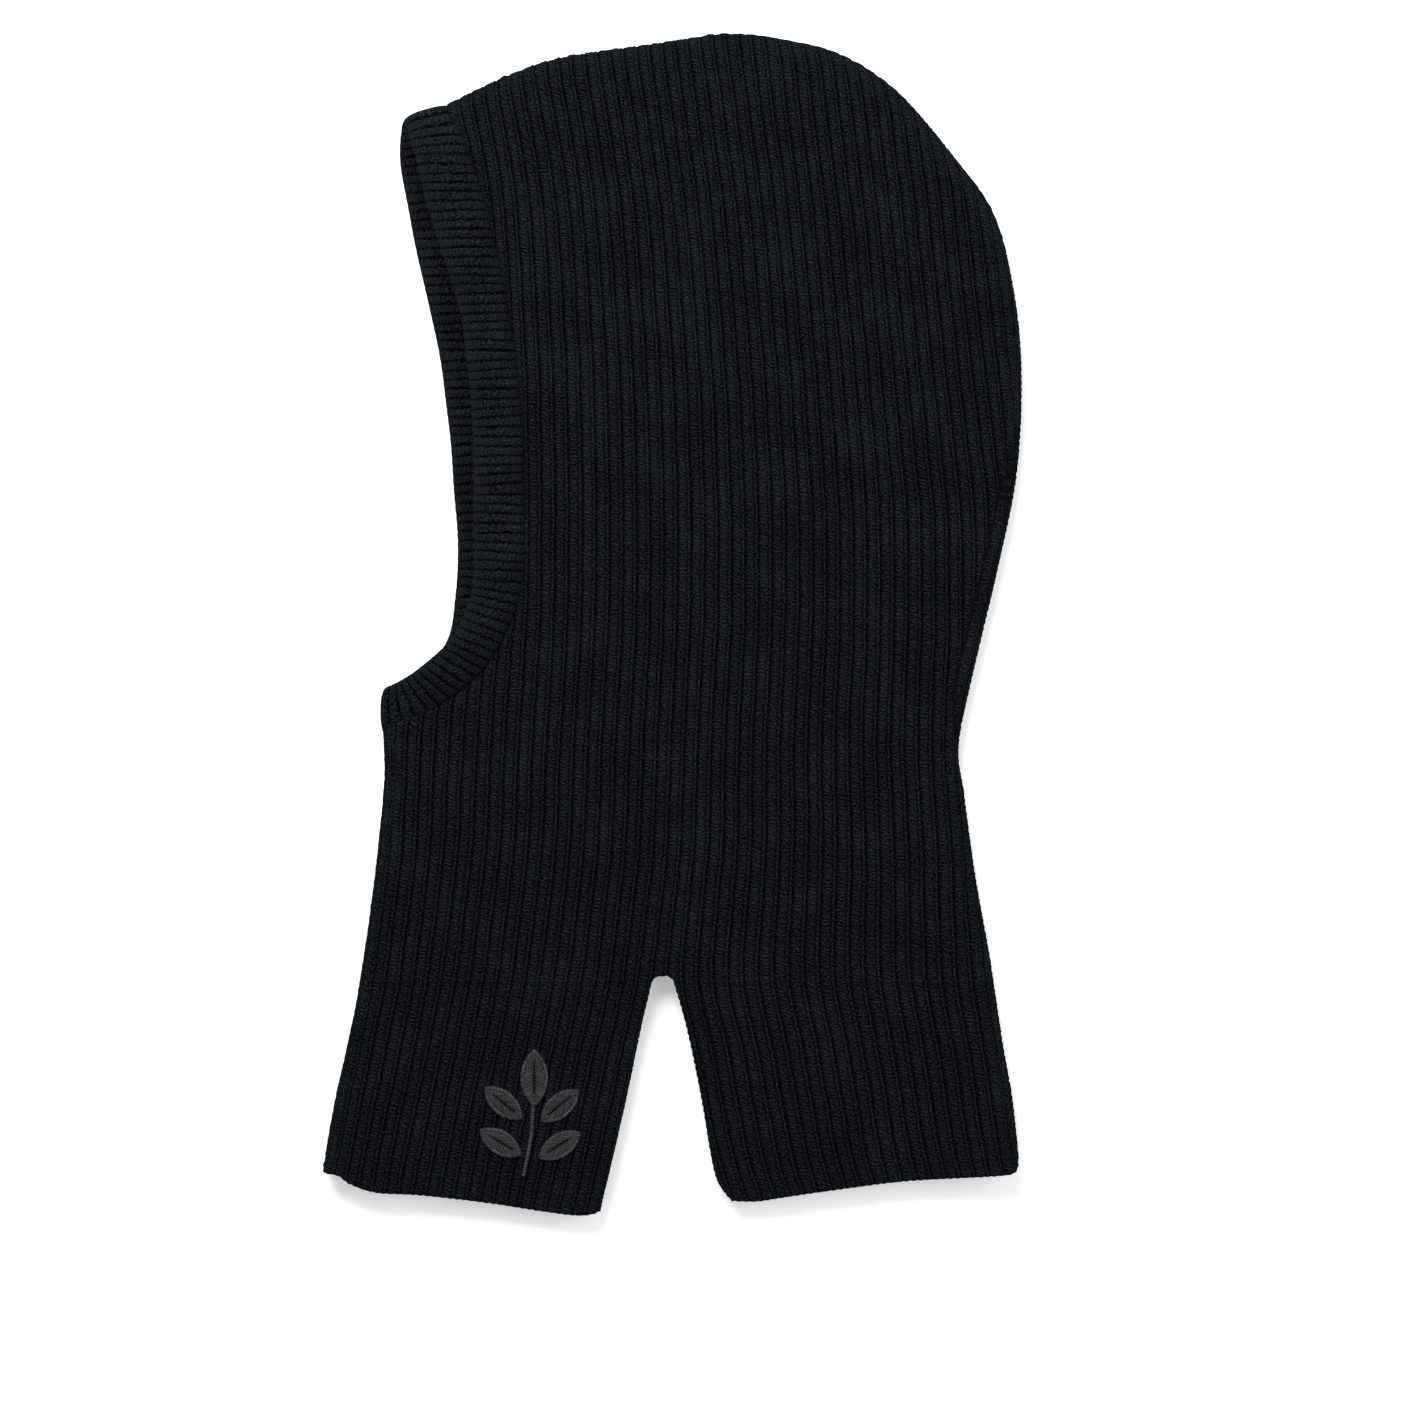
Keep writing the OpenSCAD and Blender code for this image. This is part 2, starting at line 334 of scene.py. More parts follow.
def nearest_fold(points):
    """How far each point is from where the cloth turns over, and the direction away from it."""
    back, back_way = distance(points, FOLDS[0])
    front, front_way = distance(points, FOLDS[1])
    nearer = front < back
    return np.where(nearer, front, back), np.where(nearer[:, None], front_way, back_way)


# %% The two faces of one side of the cloth
SAG = {"left": 2.6, "right": 0.0}
UNEVEN = {"left": 0.5, "right": 0.25}
GROOVE_DEPTH, GROOVE_REACH = 2.4, 5.5
FREE_ROUND, FREE_TUCK = 1.9, 0.92


def cloth(points, side):
    """Heights of the outer and inner face from the middle level, the outer face's normal and
    how far the band's seam is."""
    fold, fold_way = nearest_fold(points)
    free = np.min([distance(points, line)[0] for line in FREE], 0)
    seam, seam_way = distance(points, even(SEAM[side], 4))

    sag = SAG[side] * ease((fold - 6) / 45) * ease((seam - 2) / 25)
    sag += UNEVEN[side] * (1 + waves(points, 60, 3)) * ease(fold / 15)
    crest = TOP - MIDDLE - GAP - sag
    outer = GAP + (crest - GAP) * quarter(fold, FOLD_R)
    slope = (crest - GAP) * quarter_slope(fold, FOLD_R)
    normal = np.concatenate([-fold_way * slope[:, None], np.ones((len(points), 1))], 1)

    deep = GROOVE_DEPTH * ease(fold / 12)
    outer -= deep * (1 - quarter(seam, GROOVE_REACH))
    normal[:, :2] -= seam_way * (deep * quarter_slope(seam, GROOVE_REACH))[:, None]

    inner = np.maximum((crest - KNIT_T) * quarter(fold - 3, FOLD_R), 0.0)
    inner = np.minimum(inner, outer - 0.4)
    round_off = 1 - quarter(free, FREE_ROUND)
    centre = (outer + inner) / 2
    near = free < FREE_ROUND
    outer = np.where(near, outer - round_off * (outer - centre) * FREE_TUCK, outer)
    inner = np.where(near, inner + round_off * (centre - inner) * FREE_TUCK, inner)
    normal /= np.linalg.norm(normal, axis=1)[:, None]
    return outer, inner, normal, seam


# %% [markdown]
# ## The ribs
#
# On the real knit a rib is a wide column of slanted stitches with one thin straight leg beside
# it, and then a narrow, deep groove. It is cut as real relief, so it also shows at the crown's
# edge. The relief only goes down from the cloth's height, so the sheet never grows. Down the
# lower back of the head one rib runs along the edge and the others end in it.


# %% Rib relief
EDGE_HEIGHT = 0.95  # how nearly full the relief is along the crown, the back and the front
FADED_HEIGHT = 0.85
SEAM_HEIGHT = 0.7


def half_round(share, centre, half):
    """1 at the centre and 0 from half a width away, round between them."""
    return np.sqrt(np.clip(1 - ((share - centre) / half) ** 2, 0, 1))


def rib_shape(share):
    """Height across one rib, from 0 in the groove to 1 on the column of stitches."""
    return np.maximum(half_round(share, 0.39, 0.33), 0.85 * half_round(share, 0.84, 0.12))


def rib_place(points):
    """The rib number where each point lies, with the one rib that follows an edge."""
    wobble = 0.03 * waves(points, 22, 11) + 0.025 * waves(points, 4, 12)
    place = rib_number(points[:, 0], points[:, 1]) + wobble
    back = distance(points, BACK_EDGE)[0]
    near = distance(points, FASHIONED)[0]
    wide = EDGE_RIB_W * ease((FASHIONED[0, 1] - points[:, 1]) / 26)
    wide = np.maximum(wide * ease((points[:, 1] - FASHIONED[-1, 1]) / 20), 0.01)
    return np.where((near < wide) & (near < back + 0.01), 1 - near / wide * 0.98, place)


def relief(points, seam, plain):
    """How far the surface is cut down from its full height. plain is 1 where the ribs fade."""
    height = rib_shape(rib_place(points) % 1)
    back = distance(points, BACK_EDGE)[0]
    crown, front = distance(points, CROWN)[0], distance(points, FOLDS[1])[0]
    edge = np.minimum(np.minimum(back, crown + 1.1), front + 0.3)
    height = height + (EDGE_HEIGHT - height) * (1 - ease((edge + 0.2) / 4.0))
    height = height + (FADED_HEIGHT - height) * plain
    height = height + (SEAM_HEIGHT - height) * (1 - ease(seam / 1.6)) * 0.7
    depth = RIB_DEPTH * (1 + 0.15 * waves(points, 30, 5))
    stitches = 0.10 * waves(points, 3.1, 21) + 0.07 * waves(points, 1.9, 22)
    return (height - 1) * depth + stitches * height


# %% [markdown]
# ## From an outline to a sheet of knit
#
# A sheet is filled with points that lie on its ribs, with a few rings of closer points behind each
# round edge. They are joined up on a plan on which the ribs are straight and upright, so that the
# triangles follow the ribs however those lean. The outer and the inner face share one outline, and
# a narrow wall joins them, so the sheet is closed.


# %% Inside an outline
def inside(points, outline):
    """Which points lie inside a closed outline: those with an odd number of edges to their right."""
    order = np.argsort(points[:, 1])
    ys = points[order, 1]
    odd = np.zeros(len(points), bool)
    for a, b in zip(outline, np.roll(outline, -1, axis=0)):
        low, high = np.searchsorted(ys, sorted((a[1], b[1])))
        if low < high:
            beside_it = order[low:high]
            x = a[0] + (points[beside_it, 1] - a[1]) * (b[0] - a[0]) / (b[1] - a[1])
            odd[beside_it] ^= points[beside_it, 0] < x
    return odd


def clear_of(points, others, gap):
    """Which points are more than gap from all the others."""
    tree = kdtree.KDTree(len(others))
    for i, p in enumerate(others):
        tree.insert((p[0], p[1], 0), i)
    tree.balance()
    return np.array([tree.find((p[0], p[1], 0))[2] > gap for p in points], bool)


# %% Points on the ribs
def ribs_upright(points):
    """The plan on which ribs are straight: across in millimetres of rib, and y as it is."""
    return np.stack([rib_number(points[:, 0], points[:, 1]) * RIB_W, points[:, 1]], 1)


def fill_points(outline, rings, across, rows):
    """Points on the ribs inside an outline, and rings of them behind its round edges."""
    upright = ribs_upright(outline)
    kept, kept_plan = np.zeros((0, 2)), np.zeros((0, 2))
    for depth, ring in rings:
        plan = ribs_upright(ring)
        good = inside(plan, upright) & clear_of(ring, outline, 0.8 * depth)
        kept, kept_plan = np.concatenate([kept, ring[good]]), np.concatenate([kept_plan, plan[good]])
    low, high = upright.min(0), upright.max(0)
    pitch = across * RIB_W
    xs = np.arange(math.ceil(low[0] / pitch), high[0] / pitch) * pitch
    ys = np.arange(math.ceil(low[1] / rows), high[1] / rows) * rows
    plan = np.stack([c.ravel() for c in np.meshgrid(xs, ys)], 1)
    plan = plan[inside(plan, upright)]
    plan = plan[clear_of(plan, np.concatenate([upright, kept_plan]), 0.45 * pitch + 0.1)]
    real = np.stack([rib_x(plan[:, 0] / RIB_W, plan[:, 1]), plan[:, 1]], 1)
    return np.concatenate([kept, real]), np.concatenate([kept_plan, plan])


# %% Joining the points into triangles
def joined(outline, extra, extra_plan):
    """Triangles over an outline and the points inside it, outline points first."""
    upright = ribs_upright(outline)
    plan = np.concatenate([upright, extra_plan])
    skew = plan + np.stack([plan[:, 1] * 1e-3, np.zeros(len(plan))], 1)
    ring = list(range(len(outline)))
    done = delaunay_2d_cdt([Vector(p) for p in skew], [], [ring], 1, 1e-6, True)
    first = np.array([ids[0] for ids in done[3]])
    triangles = first[np.array(done[2])]
    triangles = triangles[inside(plan[triangles].mean(1), upright)]
    return np.concatenate([outline, extra]), [tuple(t) for t in triangles.tolist()]


# %% [markdown]
# ## Writing a mesh
#
# Every finished piece is written in metres with its place in its mesh. The knit's own
# coordinates, the rib number and the courses up it, are kept as a UV map, because a pattern that
# follows the cloth has to move with it when a bib is lifted.


# %% Mesh writer
def write_mesh(name, points, faces, uv=None, sharp=None):
    """A mesh object from points in millimetres, with one UV pair for each point."""
    mesh = bpy.data.meshes.new(name)
    mesh.from_pydata([tuple(p * MM) for p in points], [], faces)
    mesh.validate()
    mesh.polygons.foreach_set("use_smooth", [True] * len(mesh.polygons))
    if uv is not None:
        layer = mesh.uv_layers.new(name="knit")
        corners = np.empty(len(mesh.loops), np.int32)
        mesh.loops.foreach_get("vertex_index", corners)
        layer.data.foreach_set("uv", uv[corners].astype(np.float32).ravel())
    if sharp:
        ends = {tuple(sorted(e)) for e in sharp}
        flags = [tuple(sorted(e.vertices)) in ends for e in mesh.edges]
        mesh.attributes.new("sharp_edge", "BOOLEAN", "EDGE").data.foreach_set("value", flags)
    piece = bpy.data.objects.new(name, mesh)
    bpy.context.scene.collection.objects.link(piece)
    return piece


def turned_out(faces, points):
    """The faces with their order turned where the closed shape would be inside out."""
    fans = np.array([(f[0], f[i], f[i + 1]) for f in faces for i in range(1, len(f) - 1)])
    a, b, c = points[fans[:, 0]], points[fans[:, 1]], points[fans[:, 2]]
    volume = np.einsum("ij,ij->i", a, np.cross(b, c)).sum()
    return faces if volume > 0 else [tuple(reversed(f)) for f in faces]


def signed_area(outline):
    ahead = np.roll(outline, -1, 0)
    return 0.5 * np.sum(outline[:, 0] * ahead[:, 1] - ahead[:, 0] * outline[:, 1])


def knit_place(points, steadied):
    """Each point's rib and course, counted round the turn of a fold as well as over the flat."""
    near = np.clip(nearest_fold(points)[0], 0, FOLD_R)
    round_turn = FOLD_R * np.arcsin(1 - near / FOLD_R) - (FOLD_R - near)
    moved = -nearest_fold(steadied)[1] * round_turn[:, None]
    return np.stack([rib_place(points) + moved[:, 0] / RIB_W,
                     (points[:, 1] + moved[:, 1]) / COURSE], 1)


# %% The outline of a sheet
RING_DEPTHS = (0.4, 1.1, 2.1, 3.4, 5.0)
FREE_RINGS = 3      # a free edge or a seam only has the rings less deep than this
UP = {"left": 1, "right": -1}


def one_outline(edges):
    """The outline that edges make, anticlockwise, the kind of each point and the way inwards."""
    lines = [even(line, EDGE_STEP)[:-1] for line, _ in edges]
    outline = np.concatenate(lines)
    kinds = np.concatenate([[kind] * len(line) for line, (_, kind) in zip(lines, edges)])
    if signed_area(outline) < 0:
        outline, kinds = outline[::-1], kinds[::-1]
    way = np.roll(outline, -1, 0) - np.roll(outline, 1, 0)
    way /= np.maximum(np.linalg.norm(way, axis=1), 1e-9)[:, None]
    return outline, kinds, np.stack([-way[:, 1], way[:, 0]], 1)


def moved_in(points, inward, by):
    """The points, with those of the outline, which come first, moved in from their edge."""
    moved = points.copy()
    moved[:len(inward)] += inward * by
    return moved


# %% A sheet of knit
def knit_sheet(name, side, edges, plain=None):
    """A closed sheet over the outline that edges make. Each edge is (line, kind)."""
    outline, kinds, inward = one_outline(edges)
    area = signed_area(outline)
    step = np.arange(len(outline)) * EDGE_STEP
    bumps = 0.14 * (1 - np.cos(step * 2 * math.pi / 2.6)) + 0.08 * (1 - np.cos(step * 2.9))
    outline = outline + inward * (bumps * (kinds == "free"))[:, None]
    rings = []
    for depth in RING_DEPTHS:
        wanted = (kinds == "fold") | ((depth < FREE_RINGS) & (kinds != "cut"))
        rings.append((depth, (outline + inward * depth)[wanted]))
    fine = fill_points(outline, rings, RIB_STEP, ROW_STEP)
    coarse = fill_points(outline, [(1.8, rings[2][1]), (5.0, rings[4][1])], 0.7, 6.0)
    outer_xy, outer_faces = joined(outline, *fine)
    inner_xy, inner_faces = joined(outline, *coarse)

    heights, _, normal, seam = cloth(moved_in(outer_xy, inward, 0.02), side)
    cut = relief(outer_xy, seam, plain(outer_xy) if plain else 0.0)
    n, m = len(outline), len(outer_xy)
    cut[:n] *= np.where(kinds == "fold", 1.0, 0.35)
    outer = np.concatenate([outer_xy, heights[:, None]], 1) + normal * cut[:, None]
    low = cloth(moved_in(inner_xy, inward, 0.02), side)[1]
    inner = np.concatenate([inner_xy, low[:, None]], 1)
    inner[:n, :2] = outer[:n, :2]
    inner[:n, 2] = np.minimum(inner[:n, 2], outer[:n, 2] - 0.15)

    faces = list(outer_faces) + [tuple(reversed([i + m for i in f])) for f in inner_faces]
    faces += [(i, m + i, m + (i + 1) % n, (i + 1) % n) for i in range(n)]
    points = np.concatenate([outer, inner])
    points[:, 2] = MIDDLE + UP[side] * points[:, 2]
    faces = turned_out(faces, points)
    steadied = [moved_in(xy, inward, 0.5) for xy in (outer_xy, inner_xy)]
    uv = knit_place(np.concatenate([outer_xy, inner_xy]), np.concatenate(steadied))
    cut_edges = [(i, (i + 1) % n) for i in range(n) if kinds[i] == "cut"]
    cut_edges += [(m + i, m + j) for i, j in cut_edges]
    piece = write_mesh(name, points, faces, uv, cut_edges)
    piece["flat_area"] = abs(area) * MM * MM
    print(f"{name}: {len(outer_faces)} outer and {len(inner_faces)} inner triangles")
    return piece


# %% [markdown]
# ## Cutting the outline into pieces
#
# The hood, the bibs, their hems and the selvedges along the slits are pieces of one cloth, so
# they share the same formulas and meet without a step. Each is only an outline: stretches of the
# lines above, with the kind of edge each one is. "cut" means that the next piece carries on there.

# %% Lines between the pieces
front_inner = beside(smooth([(-150, -188), (-116, -198), (-87, -203), (-65, -206), (-40, -209),
                             (-26, -210.5), (0, -213)]), -HEM_W)
back_inner = beside(smooth([(0, -206), (20, -204.5), (37, -204), (60, -201), (84, -198),
                            (115, -196), (150, -193)]), -HEM_W)
selvedge_front = beside(SLIT_FRONT, SELVEDGE_W)
selvedge_back = beside(SLIT_BACK, -SELVEDGE_W)
cut_line = straight((-200, CUT_Y), (200, CUT_Y))

# %% Where they meet
front_cut = crossing(FRONT, cut_line)[0]
front_hem_at = crossing(FRONT, front_inner)
rim_cut = crossing(RIM[NAPE:], cut_line)[0] + NAPE
back_hem_at = crossing(RIM[NAPE:], back_inner)
slit_front_at = crossing(selvedge_front, front_inner)
slit_back_at = crossing(selvedge_back, back_inner)
free_front_at = crossing(SLIT_FRONT, front_inner)
free_back_at = crossing(SLIT_BACK, back_inner)
left_leg = crossing(selvedge_front, cut_line)[0]
right_leg = crossing(selvedge_back, cut_line)[0]
leg_left = part(selvedge_front, left_leg, left_leg + 1)[0]
leg_right = part(selvedge_back, right_leg, right_leg + 1)[0]
arch_mid = (leg_left + leg_right) / 2
arch_half = (leg_right[0] - leg_left[0]) / 2
turns = np.linspace(math.pi, 0, 25)
ARCH_H = 9.0
ARCH = np.stack([arch_mid[0] + arch_half * np.cos(turns), CUT_Y + ARCH_H * np.sin(turns)], 1)
rim_cut_point = part(RIM, rim_cut, rim_cut + 1)[0]
front_cut_point = part(FRONT, front_cut, front_cut + 1)[0]


# %% Outlines of the pieces, anticlockwise
def outlines(side):
    front_leg = part(selvedge_front, left_leg, slit_front_at[0])
    back_leg = part(selvedge_back, right_leg, slit_back_at[0])
    return {
        "hood": [
            (straight(leg_left, front_cut_point), "cut"), (part(FRONT, front_cut, 0), "fold"),
            (SEAM[side][::-1], "seam"), (part(RIM, 0, rim_cut), "fold"),
            (straight(rim_cut_point, leg_right), "cut"), (ARCH[::-1], "cut")],
        "slit_head": [
            (ARCH, "cut"), (straight(leg_right, SLIT_BACK[0]), "cut"),
            (SLIT_HEAD[::-1], "free"), (straight(SLIT_FRONT[0], leg_left), "cut")],
        "front_bib": [
            (straight(leg_left, front_cut_point), "cut"),
            (part(FRONT, front_cut, front_hem_at[0]), "fold"),
            (part(front_inner, front_hem_at[1], slit_front_at[1]), "cut"),
            (front_leg[::-1], "cut")],
        "front_slit_edge": [
            (front_leg, "cut"),
            (part(front_inner, slit_front_at[1], free_front_at[1]), "cut"),
            (part(SLIT_FRONT, free_front_at[0], 0), "free"),
            (straight(SLIT_FRONT[0], leg_left), "cut")],
        "front_hem": [
            (part(front_inner, free_front_at[1], front_hem_at[1]), "cut"),
            (part(FRONT, front_hem_at[0], len(FRONT) - 1), "fold"), (FRONT_HEM, "free"),
            (part(SLIT_FRONT, len(SLIT_FRONT) - 1, free_front_at[0]), "free")],
        "back_bib": [
            (straight(rim_cut_point, leg_right), "cut"), (back_leg, "cut"),
            (part(back_inner, slit_back_at[1], back_hem_at[1]), "cut"),
            (part(RIM, back_hem_at[0] + NAPE, rim_cut), "fold")],
        "back_slit_edge": [
            (straight(leg_right, SLIT_BACK[0]), "cut"),
            (part(SLIT_BACK, 0, free_back_at[0]), "free"),
            (part(back_inner, free_back_at[1], slit_back_at[1]), "cut"), (back_leg[::-1], "cut")],
        "back_hem": [
            (part(back_inner, back_hem_at[1], free_back_at[1]), "cut"),
            (part(SLIT_BACK, free_back_at[0], len(SLIT_BACK) - 1), "free"), (BACK_HEM, "free"),
            (part(RIM, len(RIM) - 1, back_hem_at[0] + NAPE), "fold")]}


# %% Where the ribs fade
def hem_fade(points):
    """Ribs flatten towards the cast-on edge."""
    d = np.minimum(distance(points, even(FRONT_HEM, 3))[0], distance(points, even(BACK_HEM, 3))[0])
    return 0.55 * (1 - ease((d - 0.5) / 6.0))


# %% Make the sheets
FADES = {"front_hem": hem_fade, "back_hem": hem_fade}
sheets = {}
for side in ("left", "right"):
    for region, edges in outlines(side).items():
        sheets[side, region] = knit_sheet(f"{region}_{side}_knit", side, edges, FADES.get(region))

# %% [markdown]
# ## The face band
#
# The band is knitted sideways on and linked to the hood all the way round, so its ribs run across
# it. It is thicker than the hood. It is one closed loop: down the left side, round under the chin,
# up the right side and over at the brow, swept between its free edge and its seam.


# %% The band's path
BAND_RIB = 3.4
BAND_ROWS = 7       # cross-sections for each rib
FINE = 24
# How far the seam's end of a rib lags behind the edge's, at each point that draws the edge
BAND_LEAN = {"left": [1, 1, -1, 0, 2, 1, 4, 4, 3], "right": [-2, -1, -1, -1, 0, 0, 3, 4, 3]}
# Where the edge and the seam turn over after each side: under the chin, and at the brow
BAND_TURN = {"left": [(-101.0, -22.2), (-101.0, -39.2)], "right": [(-95.7, 178.0), (-79.3, 183.0)]}
BAND_LEVEL = {"left": TOP - BAND_T / 2, "right": TABLE + BAND_T / 2 + 0.8}


def closed_curve(keys):
    """A smooth curve through all the points and back to the first."""
    curve = smooth(keys[-3:] + keys + keys[:3], FINE)[3 * FINE:-2 * FINE - 1]
    return np.concatenate([curve, curve[:1]])


def band_path():
    """The band's free edge and its seam at even steps round the band, and how far round it is."""
    edge, seam = [], []
    for side in ("left", "right"):
        for key, lean in list(enumerate(BAND_LEAN[side], 1))[::UP[side]]:
            edge.append([*EDGE[side][key * STEPS], BAND_LEVEL[side]])
            seam.append([*SEAM[side][key * STEPS - lean], BAND_LEVEL[side]])
        for keys, turn_at in zip((edge, seam), BAND_TURN[side]):
            keys.append([*turn_at, MIDDLE])
    edge, seam = closed_curve(edge), closed_curve(seam)
    at = along((edge + seam) / 2)
    count = int(round(at[-1] / BAND_RIB)) * BAND_ROWS
    wanted = np.linspace(0, at[-1], count, endpoint=False)
    return sampled(edge, at, wanted), sampled(seam, at, wanted), at[-1]


band_edge, band_seam, band_length = band_path()
print(f"the face band is {band_length:.0f} mm round")
BAND_FLAT = float(np.linalg.norm(band_edge - band_seam, axis=1).mean()) + BAND_T
BAND_COURSES = round(2 * BAND_FLAT / COURSE)

# %% A tube
def tube_faces(rows, around, closed):
    """The faces between a tube's rings and, unless it closes in a loop, over its two ends."""
    faces = []
    for i in range(rows if closed else rows - 1):
        here, ahead = i * around, (i + 1) % rows * around
        for k in range(around):
            m = (k + 1) % around
            faces.append((here + k, here + m, ahead + m, ahead + k))
    if not closed:
        faces.append(tuple(reversed(range(around))))
        faces.append(tuple(range((rows - 1) * around, rows * around)))
    return faces


def tube(name, lines, uv, closed):
    """A mesh from the lines that run along a tube, one for each place round it."""
    points = np.stack(lines, 1).reshape(-1, 3)
    faces = turned_out(tube_faces(len(lines[0]), len(lines), closed), points)
    return write_mesh(name, points, faces, np.stack(uv, 1).reshape(-1, 2))


# %% The band's cross-section
AROUND = 34
SQUARENESS = 0.85   # 1 is an ellipse, and less is squarer
BAND_DEPTH = 1.15
SEAM_SIDE = 0.9     # how much further the band goes on its seam's side
turn = np.arange(AROUND) / AROUND * 2 * math.pi
profile_across = np.sign(np.cos(turn)) * np.abs(np.cos(turn)) ** SQUARENESS
profile_up = np.sign(np.sin(turn)) * np.abs(np.sin(turn)) ** SQUARENESS


# %% Sweep the band
def sweep_band():
    middle = (band_edge + band_seam) / 2
    across = (band_edge - band_seam) / 2
    half = np.linalg.norm(across, axis=1)
    across /= half[:, None]
    ahead = np.roll(middle, -1, 0) - np.roll(middle, 1, 0)
    ahead -= across * (ahead * across).sum(1)[:, None]
    up = np.cross(across, ahead)
    up /= np.linalg.norm(up, axis=1)[:, None]
    for _ in range(60):
        up = (np.roll(up, 1, 0) + up + np.roll(up, -1, 0)) / 3
    up -= across * (up * across).sum(1)[:, None]
    up /= np.linalg.norm(up, axis=1)[:, None]
    n = len(middle)
    at = np.arange(n) / BAND_ROWS
    place = np.stack([at * BAND_RIB, np.zeros(n)], 1)
    uneven = waves(place, 40, 31)
    half_w = half + 0.1 + 0.35 * uneven
    half_t = BAND_T / 2 + 0.7 + 0.2 * uneven
    lip = at + 0.10 * waves(place, 13, 32)
    lean = 0.22 * waves(place, 19, 33)
    lines, uv = [], []
    for k in range(AROUND):
        x, z = profile_across[k], profile_up[k]
        rib = lip + lean * x
        shape = half_round(rib % 1, 0.5, 0.5) ** 0.9
        ridge = 1.0 - 0.35 * abs(x) ** 6 - 0.35 * ease((x + 0.2) / 0.8)
        cut = (shape - 1) * BAND_DEPTH * ridge
        side = half_w + (SEAM_SIDE if x < 0 else 0.0) + cut * abs(x) ** 3 * (0.7 if x < 0 else 0.5)
        rise = half_t + cut * (1 - abs(x) ** 5)
        lines.append(middle + across * (side * x)[:, None] + up * (rise * z)[:, None])
        uv.append(np.stack([rib, np.full(n, k / AROUND * BAND_COURSES)], 1))
    return tube("face_band_knit", lines, uv, closed=True)


face_band = sweep_band()
print("face_band_knit:", len(face_band.data.polygons), "faces")

# %% [markdown]
# ## Linked seams
#
# The band is joined to the hood, and the hood's two edges to each other up the back, by linking: a
# chain of small slanted loops. It is a thin rope that swells and narrows with each loop and whose
# strands wind round it, lying in the groove of the seam.


# %% A chain of loops along a line
ROPE_AROUND = 8
LOOP_ROWS = 6


def chain(name, path, radius, loop, closed=False):
    """A rope of small loops along a three-dimensional path."""
    step = loop / LOOP_ROWS
    path = even(path, step)
    if closed:
        path = path[:-1]
    n = len(path)
    if closed:
        ahead = np.roll(path, -1, 0) - np.roll(path, 1, 0)
    else:
        ahead = np.gradient(path, axis=0)
    ahead /= np.linalg.norm(ahead, axis=1)[:, None]
    up = np.zeros((n, 3))
    up[:, 2] = 1
    up -= ahead * (up * ahead).sum(1)[:, None]
    up /= np.linalg.norm(up, axis=1)[:, None]
    side = np.cross(ahead, up)
    phase = np.arange(n) * step / loop * 2 * math.pi
    lines, uv = [], []
    for k in range(ROPE_AROUND):
        angle = k / ROPE_AROUND * 2 * math.pi
        swell = radius * (0.80 + 0.26 * np.cos(phase + 2 * angle))
        lines.append(path + side * (np.cos(angle) * swell)[:, None]
                     + up * (np.sin(angle) * swell)[:, None])
        uv.append(np.stack([np.full(n, k / ROPE_AROUND), np.arange(n) * step / COURSE], 1))
    return tube(name, lines, uv, closed)


# %% The seams
def seam_line(side):
    line = even(SEAM[side], 2)[3:-6]
    height = MIDDLE + (cloth(line + 0.01, side)[0] - 0.6) * UP[side]
    return np.concatenate([line, height[:, None]], 1)


band_link_left = chain("band_linking_left", seam_line("left"), 0.9, 2.2)
band_link_right = chain("band_linking_right", seam_line("right"), 0.9, 2.2)
back_line = beside(RIM[CROWN_END:-6], 0.75)
back_line = np.concatenate([back_line, np.full((len(back_line), 1), MIDDLE)], 1)
split = int(np.argmax(back_line[:, 1] < CUT_Y))
back_link = chain("back_seam_linking", back_line[:split + 1], 0.85, 2.4)
bib_link = chain("back_bib_seam_linking", back_line[split:], 0.85, 2.4)
print("seams:", band_link_left.name, band_link_right.name, back_link.name, bib_link.name)

# %% [markdown]
# ## The embroidered sprig
#
# Low on the front bib is an embroidered sprig of five plain leaves. Each leaf is filled with
# slanted stitches of thread and edged with a raised cord: the same rope as the seams', wound
# tighter.

# %% The sprig's leaves and stem
SPRIG = np.array([-50.0, -174.0])
LEAF_L = 19.0
LEAF_HALF_W = 4.3
LEAVES = [(1, 13, 0, 1.0), (-10, 4, 50, 0.85), (10, 3, -50, 0.85), (-11, -10, 58, 0.85),
          (10, -11, -58, 0.85)]
ARC_POINTS = 25
STEM = [(-3, -22), (-1.5, -15), (0, -6), (0.5, 2), (1, 6)]


def leaf_outline(share):
    """Half of a leaf's outline as a circle's arc between its two tips."""
    length, half = LEAF_L * share, LEAF_HALF_W * share
    radius = (length ** 2 / 4 + half ** 2) / (2 * half)
    reach = math.asin(length / 2 / radius)
    turns = np.linspace(-reach, reach, ARC_POINTS)
    arc = np.stack([radius * np.cos(turns) - (radius - half), radius * np.sin(turns)], 1)
    return np.concatenate([arc, (arc * [-1, 1])[::-1][1:-1]])


def placed(points, x, y, angle):
    c, s = math.cos(math.radians(angle)), math.sin(math.radians(angle))
    turned = np.stack([points[:, 0] * c - points[:, 1] * s, points[:, 0] * s + points[:, 1] * c], 1)
    return turned + SPRIG + np.array([x, y])


def on_cloth(points, lift):
    """The points in space, lifted a little from the crests of the left side's ribs."""
    return np.concatenate([points, (MIDDLE + cloth(points, "left")[0] + lift)[:, None]], 1)


# %% A short stitch of thread
SIDES = 6
ROUNDS = 6
ARCHED = 0.35


